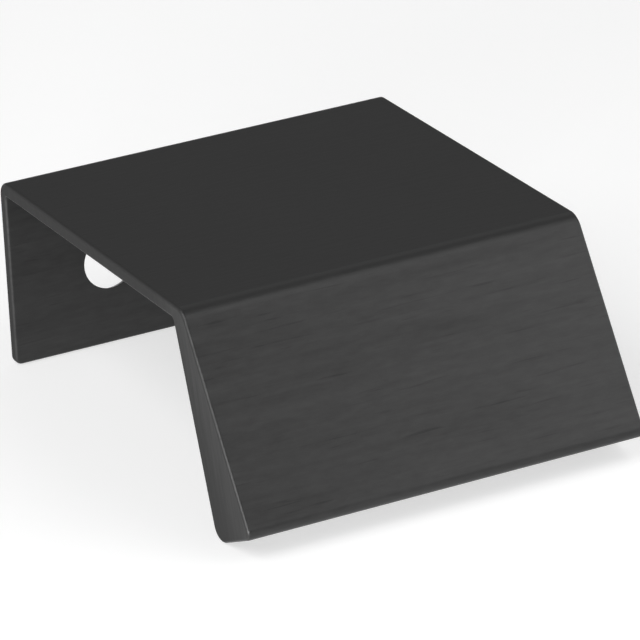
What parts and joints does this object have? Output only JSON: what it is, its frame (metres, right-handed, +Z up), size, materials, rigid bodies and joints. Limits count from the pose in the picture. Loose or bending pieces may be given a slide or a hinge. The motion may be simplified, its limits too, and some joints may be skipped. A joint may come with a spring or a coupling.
{
  "type": "edge pull",
  "caption": "Edge pull for a drawer or cabinet front: screw flange, flat top and a lip that leans out and thickens to its foot, in black brushed aluminium.",
  "frame": {"origin": "midway between the two screw holes, on the flange's seat that meets the back of the drawer front", "axes": "+X along the pull, -Y towards the user, +Z up"},
  "size_m": [0.04, 0.0482, 0.0201],
  "materials": {
    "black_anodised": "brushed along the length, black anodised, satin"
  },
  "bodies": {
    "root": {"edge_pull": "black_anodised"}
  },
  "joints": []
}
